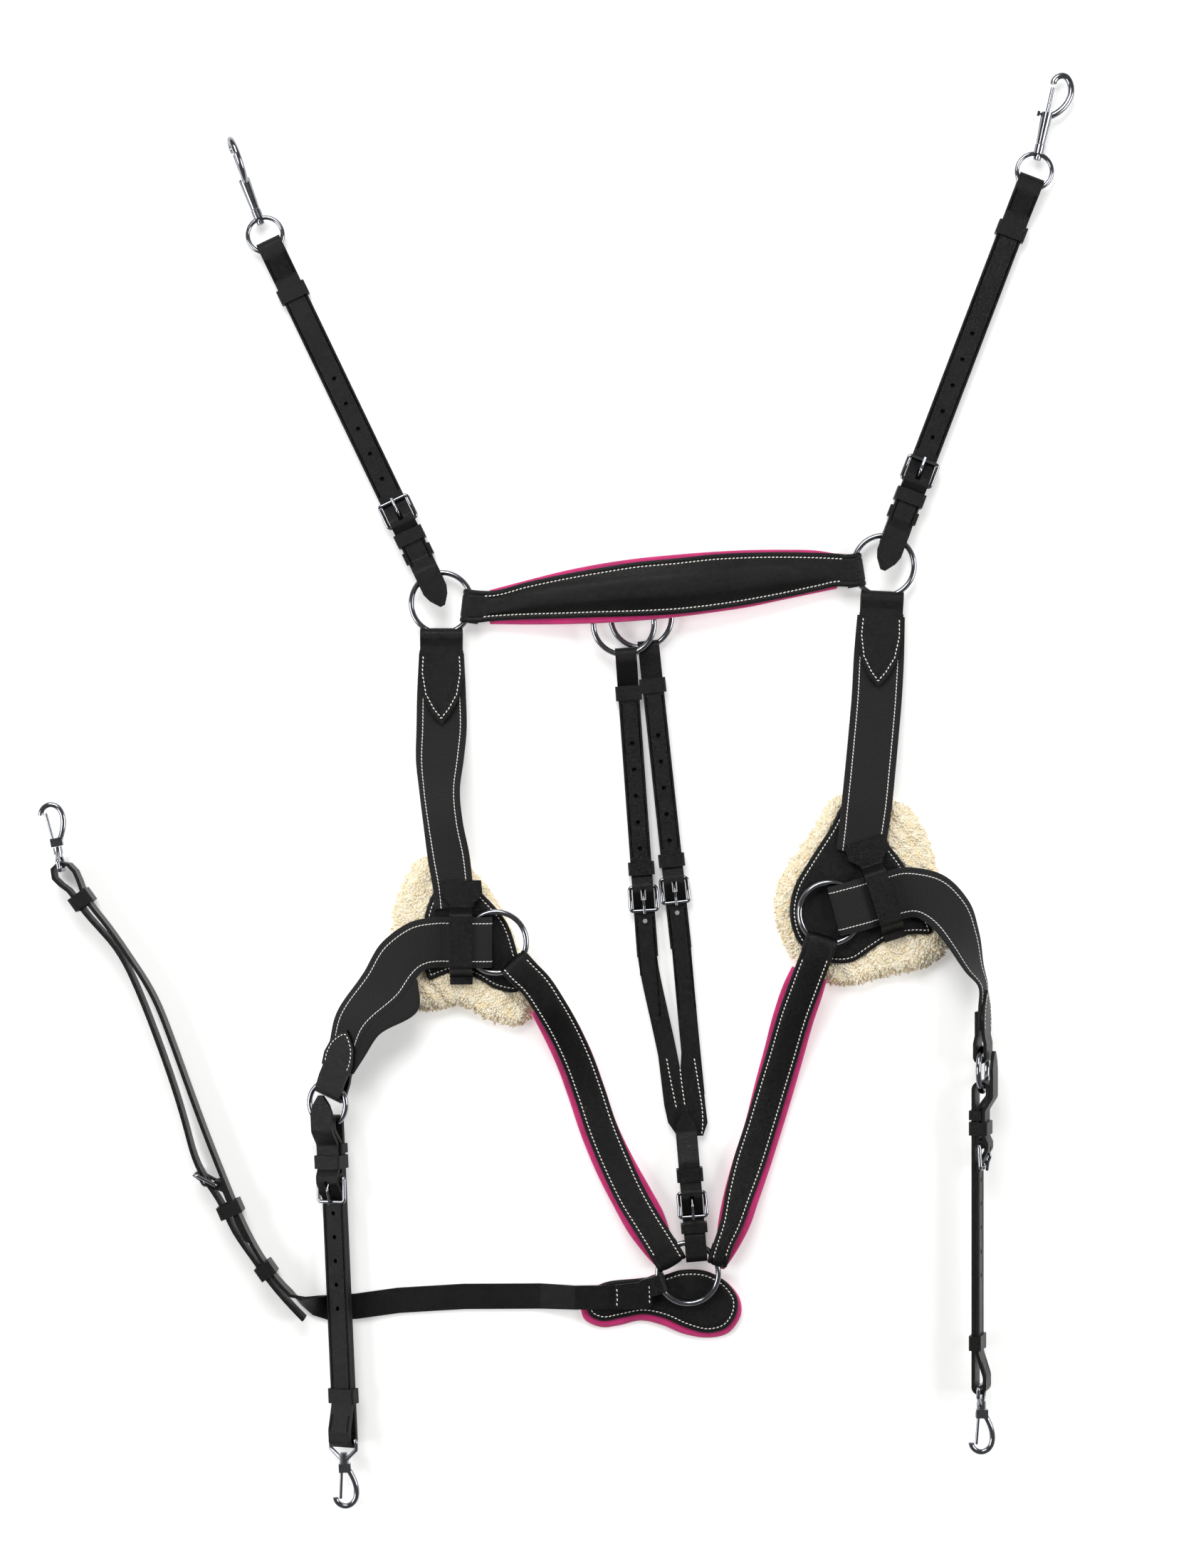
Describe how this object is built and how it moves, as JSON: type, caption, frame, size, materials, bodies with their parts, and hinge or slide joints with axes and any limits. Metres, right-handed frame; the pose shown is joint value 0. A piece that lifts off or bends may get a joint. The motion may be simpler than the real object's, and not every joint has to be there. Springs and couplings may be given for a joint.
{
  "type": "horse breastplate",
  "caption": "Five-point horse breastplate in padded black leather with elastic shoulders, fleece pads, buckled straps, metal rings and swivel snaps, laid flat.",
  "frame": {"origin": "on the flat underside of the chest pad, where the piece lies on the table", "axes": "+Y from the chest pad towards the wither pad, +X to the right of the laid-out piece seen from its outer face, +Z out of the outer face"},
  "size_m": [0.7828, 1.085, 0.0372],
  "materials": {
    "leather": "semi-gloss",
    "lining": "matt",
    "webbing": "matt",
    "fleece": "matt",
    "steel": "polished"
  },
  "bodies": {
    "harness": {"wither_pad_leather": "leather", "wither_pad_lining": "lining", "wither_ring_loop": "leather", "elastic_end_tabs": "leather", "shoulder_elastic_left": "webbing", "shoulder_elastic_right": "webbing", "shoulder_pad_left": "leather", "shoulder_pad_right": "leather", "shoulder_fleece_left": "fleece", "shoulder_fleece_right": "fleece", "elastic_guides": "leather", "girth_elastic_left": "webbing", "girth_elastic_right": "webbing", "chest_strap_left": "leather", "chest_strap_right": "leather", "chest_strap_linings": "lining", "chest_pad_leather": "leather", "chest_pad_lining": "lining", "chest_pad_patch": "leather", "fork_strap": "leather", "belly_strap": "leather", "strap_keepers": "leather", "buckle_frames": "steel", "buckle_tongues": "steel", "harness_rings": "steel"},
    "saddle_ring_left": {"saddle_ring_left": "steel"},
    "upper_strap_left": {"upper_strap_left": "leather", "upper_keepers_left": "leather", "upper_buckle_frame_left": "steel"},
    "upper_tongue_left": {"upper_buckle_tongue_left": "steel"},
    "saddle_ring_right": {"saddle_ring_right": "steel"},
    "upper_strap_right": {"upper_strap_right": "leather", "upper_keepers_right": "leather", "upper_buckle_frame_right": "steel"},
    "upper_tongue_right": {"upper_buckle_tongue_right": "steel"},
    "girth_ring_left": {"girth_ring_left": "steel"},
    "girth_strap_left": {"girth_strap_left": "leather", "girth_keepers_left": "leather", "girth_buckle_frame_left": "steel"},
    "girth_tongue_left": {"girth_buckle_tongue_left": "steel"},
    "girth_ring_right": {"girth_ring_right": "steel"},
    "girth_strap_right": {"girth_strap_right": "leather", "girth_keepers_right": "leather", "girth_buckle_frame_right": "steel"},
    "girth_tongue_right": {"girth_buckle_tongue_right": "steel"},
    "upper_snap_left_eye": {"upper_snap_eye_left": "steel"},
    "upper_snap_left_hook": {"upper_snap_hook_left": "steel"},
    "upper_snap_left_bolt": {"upper_snap_bolt_left": "steel"},
    "upper_snap_right_eye": {"upper_snap_eye_right": "steel"},
    "upper_snap_right_hook": {"upper_snap_hook_right": "steel"},
    "upper_snap_right_bolt": {"upper_snap_bolt_right": "steel"},
    "girth_snap_left_eye": {"girth_snap_eye_left": "steel"},
    "girth_snap_left_hook": {"girth_snap_hook_left": "steel"},
    "girth_snap_left_gate": {"girth_snap_gate_left": "steel"},
    "girth_snap_right_eye": {"girth_snap_eye_right": "steel"},
    "girth_snap_right_hook": {"girth_snap_hook_right": "steel"},
    "girth_snap_right_gate": {"girth_snap_gate_right": "steel"},
    "belly_snap_eye": {"belly_snap_eye": "steel"},
    "belly_snap_hook": {"belly_snap_hook": "steel"},
    "belly_snap_gate": {"belly_snap_gate": "steel"}
  },
  "joints": [
    {"name": "saddle_ring_turn_left", "type": "hinge", "parent": "harness", "child": "saddle_ring_left", "pos_m": [-0.1669, 0.5303, 0.00828], "axis": [0, 0, 1], "range_deg": [-8, 8]},
    {"name": "upper_strap_lift_left", "type": "hinge", "parent": "saddle_ring_left", "child": "upper_strap_left", "pos_m": [-0.17635, 0.55002, 0.00828], "axis": [0.9018, 0.4321, 0], "range_deg": [0, 60]},
    {"name": "upper_tongue_lift_left", "type": "hinge", "parent": "upper_strap_left", "child": "upper_tongue_left", "pos_m": [-0.19601, 0.59105, 0.0084], "axis": [0.9018, 0.4321, 0], "range_deg": [0, 8]},
    {"name": "saddle_ring_turn_right", "type": "hinge", "parent": "harness", "child": "saddle_ring_right", "pos_m": [0.1674, 0.5584, 0.00828], "axis": [0, 0, 1], "range_deg": [-8, 8]},
    {"name": "upper_strap_lift_right", "type": "hinge", "parent": "saddle_ring_right", "child": "upper_strap_right", "pos_m": [0.1752, 0.57883, 0.00828], "axis": [0.9342, -0.3567, 0], "range_deg": [0, 60]},
    {"name": "upper_tongue_lift_right", "type": "hinge", "parent": "upper_strap_right", "child": "upper_tongue_right", "pos_m": [0.19143, 0.62134, 0.0084], "axis": [0.9342, -0.3567, 0], "range_deg": [0, 8]},
    {"name": "girth_ring_turn_left", "type": "hinge", "parent": "harness", "child": "girth_ring_left", "pos_m": [-0.2525, 0.1523, 0.0145], "axis": [-0.4995, -0.0218, 0.866], "range_deg": [0, 8]},
    {"name": "girth_strap_lift_left", "type": "hinge", "parent": "girth_ring_left", "child": "girth_strap_left", "pos_m": [-0.25185, 0.13743, 0.0145], "axis": [-0.8652, -0.0378, -0.5], "range_deg": [0, 5]},
    {"name": "girth_tongue_lift_left", "type": "hinge", "parent": "girth_strap_left", "child": "girth_tongue_left", "pos_m": [-0.24988, 0.09648, 0.01418], "axis": [-0.8652, -0.0378, -0.5], "range_deg": [0, 8]},
    {"name": "girth_ring_turn_right", "type": "hinge", "parent": "harness", "child": "girth_ring_right", "pos_m": [0.241, 0.1785, 0.0195], "axis": [0.9511, 0, 0.309], "range_deg": [-8, 8]},
    {"name": "girth_strap_lift_right", "type": "hinge", "parent": "girth_ring_right", "child": "girth_strap_right", "pos_m": [0.241, 0.16362, 0.0195], "axis": [-0.309, 0, 0.9511], "range_deg": [0, 3]},
    {"name": "girth_tongue_lift_right", "type": "hinge", "parent": "girth_strap_right", "child": "girth_tongue_right", "pos_m": [0.24065, 0.12262, 0.01939], "axis": [-0.309, 0, 0.9511], "range_deg": [0, 8]},
    {"name": "upper_snap_left_swing", "type": "hinge", "parent": "upper_strap_left", "child": "upper_snap_left_eye", "pos_m": [-0.29592, 0.79959, 0.0079], "axis": [0.9018, 0.4321, 0], "range_deg": [-12, 12]},
    {"name": "upper_snap_left_swivel", "type": "hinge", "parent": "upper_snap_left_eye", "child": "upper_snap_left_hook", "pos_m": [-0.30662, 0.82533, 0.0079], "axis": [-0.3567, 0.9342, 0], "continuous": true},
    {"name": "upper_snap_left_bolt_slide", "type": "slide", "parent": "upper_snap_left_hook", "child": "upper_snap_left_bolt", "axis": [0.3567, -0.9342, 0], "range_m": [0, 0.0115], "stiffness_N_per_m": 120, "springref_m": -0.004},
    {"name": "upper_snap_right_swing", "type": "hinge", "parent": "upper_strap_right", "child": "upper_snap_right_eye", "pos_m": [0.27781, 0.84754, 0.0079], "axis": [0.9342, -0.3567, 0], "range_deg": [-12, 12]},
    {"name": "upper_snap_right_swivel", "type": "hinge", "parent": "upper_snap_right_eye", "child": "upper_snap_right_hook", "pos_m": [0.28521, 0.87436, 0.0079], "axis": [0.2147, 0.9767, 0], "continuous": true},
    {"name": "upper_snap_right_bolt_slide", "type": "slide", "parent": "upper_snap_right_hook", "child": "upper_snap_right_bolt", "axis": [-0.2147, -0.9767, 0], "range_m": [0, 0.0115], "stiffness_N_per_m": 120, "springref_m": -0.004},
    {"name": "girth_snap_left_swing", "type": "hinge", "parent": "girth_strap_left", "child": "girth_snap_left_eye", "pos_m": [-0.24084, -0.10143, 0.01349], "axis": [-0.8652, -0.0378, -0.5], "range_deg": [-40, 40]},
    {"name": "girth_snap_left_swivel", "type": "hinge", "parent": "girth_snap_left_eye", "child": "girth_snap_left_hook", "pos_m": [-0.24005, -0.11942, 0.01349], "axis": [0.0436, -0.999, 0], "continuous": true},
    {"name": "girth_snap_left_gate_turn", "type": "hinge", "parent": "girth_snap_left_hook", "child": "girth_snap_left_gate", "pos_m": [-0.24206, -0.12381, 0.01349], "axis": [0, 0, 1], "range_deg": [0, 16], "stiffness_Nm_per_rad": 0.03, "springref_deg": -14.32},
    {"name": "girth_snap_right_swing", "type": "hinge", "parent": "girth_strap_right", "child": "girth_snap_right_eye", "pos_m": [0.23989, -0.0594, 0.01914], "axis": [-0.309, 0, 0.9511], "range_deg": [-40, 40]},
    {"name": "girth_snap_right_swivel", "type": "hinge", "parent": "girth_snap_right_eye", "child": "girth_snap_right_hook", "pos_m": [0.23989, -0.0774, 0.01914], "axis": [0, -1, 0], "continuous": true},
    {"name": "girth_snap_right_gate_turn", "type": "hinge", "parent": "girth_snap_right_hook", "child": "girth_snap_right_gate", "pos_m": [0.23769, -0.0817, 0.01914], "axis": [0, 0, 1], "range_deg": [0, 16], "stiffness_Nm_per_rad": 0.03, "springref_deg": -14.32},
    {"name": "belly_snap_swing", "type": "hinge", "parent": "harness", "child": "belly_snap_eye", "pos_m": [-0.4532, 0.3286, 0.0134], "axis": [0, 0, -1], "range_deg": [-25, 25]},
    {"name": "belly_snap_swivel", "type": "hinge", "parent": "belly_snap_eye", "child": "belly_snap_hook", "pos_m": [-0.45664, 0.34627, 0.0134], "axis": [-0.1908, 0.9816, 0], "continuous": true},
    {"name": "belly_snap_gate_turn", "type": "hinge", "parent": "belly_snap_hook", "child": "belly_snap_gate", "pos_m": [-0.45961, 0.35007, 0.0134], "axis": [0, 0, -1], "range_deg": [0, 16], "stiffness_Nm_per_rad": 0.03, "springref_deg": -14.32}
  ]
}
